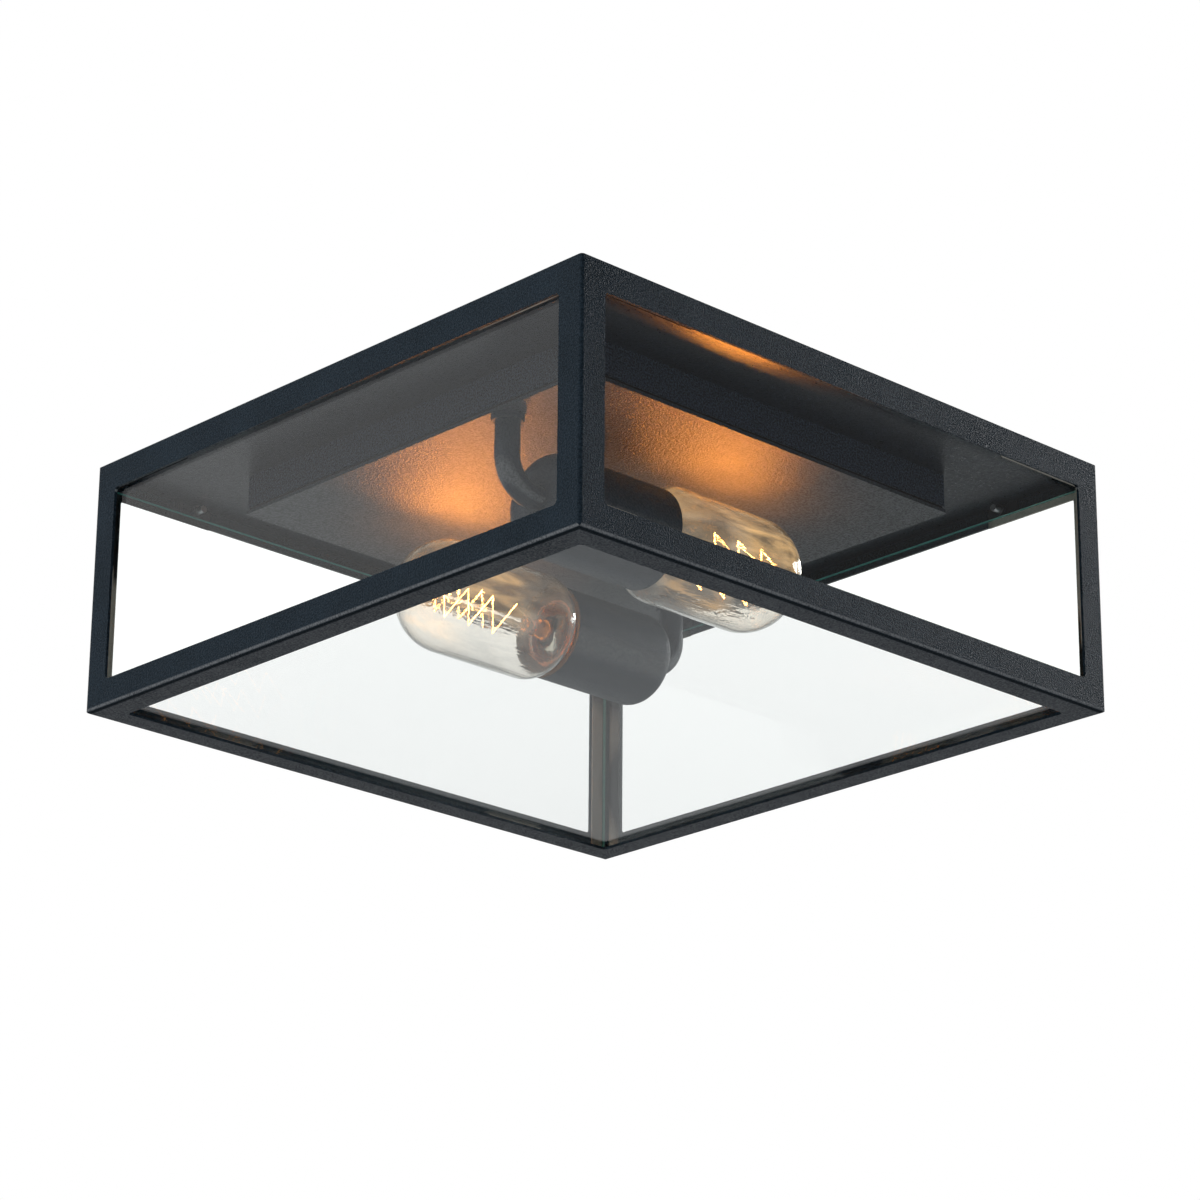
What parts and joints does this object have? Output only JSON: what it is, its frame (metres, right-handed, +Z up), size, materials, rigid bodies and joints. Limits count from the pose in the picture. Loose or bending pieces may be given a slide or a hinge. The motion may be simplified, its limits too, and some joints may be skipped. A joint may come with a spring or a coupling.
{
  "type": "porch ceiling lantern",
  "caption": "Square glazed sheet-steel porch ceiling lantern with a flush tray, horizontal lamp holders on bent arms and tubular screw-cap bulbs.",
  "frame": {"origin": "on the ceiling plane, at the middle of the ceiling bracket and of the square lantern", "axes": "+Z up into the ceiling, +X and +Y square to the lantern's sides; both lamp axes run along X"},
  "size_m": [0.2921, 0.2921, 0.107],
  "materials": {
    "powder_coat": "textured dark graphite powder coat",
    "clear_glass": "clear float glass, greenish at the edges",
    "bulb_glass": "thin clear blown glass",
    "foam": "black foam tape",
    "rubber": "black rubber",
    "steel": "zinc plated steel",
    "brass": "plain brass",
    "copper": "copper toned, dull",
    "phenolic": "black moulded phenolic",
    "nylon": "natural nylon",
    "cap_brass": "nickel-brass screw cap",
    "filament": "tungsten wire, glowing"
  },
  "bodies": {
    "ceiling_unit": {"bracket": "steel", "centre_stud": "steel", "back_plate": "powder_coat", "clinch_nuts": "steel", "cable_grommet": "rubber", "tray_wall": "powder_coat", "tray_gasket": "rubber", "cover_plate": "powder_coat", "cover_washer": "steel", "dome_nut": "powder_coat", "terminal_block": "nylon", "earth_screw": "brass", "arm_1": "powder_coat", "arm_collar_1": "powder_coat", "holder_can_1": "powder_coat", "holder_core_1": "phenolic", "screw_shell_1": "copper", "centre_contact_1": "copper", "arm_2": "powder_coat", "arm_collar_2": "powder_coat", "holder_can_2": "powder_coat", "holder_core_2": "phenolic", "screw_shell_2": "copper", "centre_contact_2": "copper"},
    "lantern": {"front_panel": "powder_coat", "right_panel": "powder_coat", "back_panel": "powder_coat", "left_panel": "powder_coat", "front_pane": "clear_glass", "right_pane": "clear_glass", "back_pane": "clear_glass", "left_pane": "clear_glass", "bottom_pane": "clear_glass", "glazing_tape": "foam"},
    "bulb_1": {"bulb_cap_1": "cap_brass", "cap_insulator_1": "phenolic", "cap_tip_1": "steel", "bulb_glass_1": "bulb_glass", "stem_1": "bulb_glass", "hooks_1": "steel", "filament_1": "filament"},
    "bulb_2": {"bulb_cap_2": "cap_brass", "cap_insulator_2": "phenolic", "cap_tip_2": "steel", "bulb_glass_2": "bulb_glass", "stem_2": "bulb_glass", "hooks_2": "steel", "filament_2": "filament"},
    "screw_1": {"fixing_screw_1": "steel"},
    "screw_2": {"fixing_screw_2": "steel"},
    "screw_3": {"fixing_screw_3": "steel"},
    "screw_4": {"fixing_screw_4": "steel"}
  },
  "joints": [
    {"name": "lantern_drop", "type": "slide", "parent": "ceiling_unit", "child": "lantern", "axis": [0, 0, 1], "range_m": [-0.11, 0]},
    {"name": "bulb_1_unscrew", "type": "hinge", "parent": "ceiling_unit", "child": "bulb_1", "pos_m": [0.03, 0.0512, -0.0511], "axis": [-1, 0, 0], "range_deg": [0, 1080]},
    {"name": "bulb_2_unscrew", "type": "hinge", "parent": "ceiling_unit", "child": "bulb_2", "pos_m": [-0.03, -0.0512, -0.0511], "axis": [1, 0, 0], "range_deg": [0, 1080]},
    {"name": "screw_1_slacken", "type": "hinge", "parent": "ceiling_unit", "child": "screw_1", "pos_m": [0.145, -0.095, -0.007], "axis": [1, 0, 0], "range_deg": [0, 720]},
    {"name": "screw_2_slacken", "type": "hinge", "parent": "ceiling_unit", "child": "screw_2", "pos_m": [0.145, 0.095, -0.007], "axis": [1, 0, 0], "range_deg": [0, 720]},
    {"name": "screw_3_slacken", "type": "hinge", "parent": "ceiling_unit", "child": "screw_3", "pos_m": [0.095, 0.145, -0.007], "axis": [0, 1, 0], "range_deg": [0, 720]},
    {"name": "screw_4_slacken", "type": "hinge", "parent": "ceiling_unit", "child": "screw_4", "pos_m": [-0.095, 0.145, -0.007], "axis": [0, 1, 0], "range_deg": [0, 720]}
  ]
}
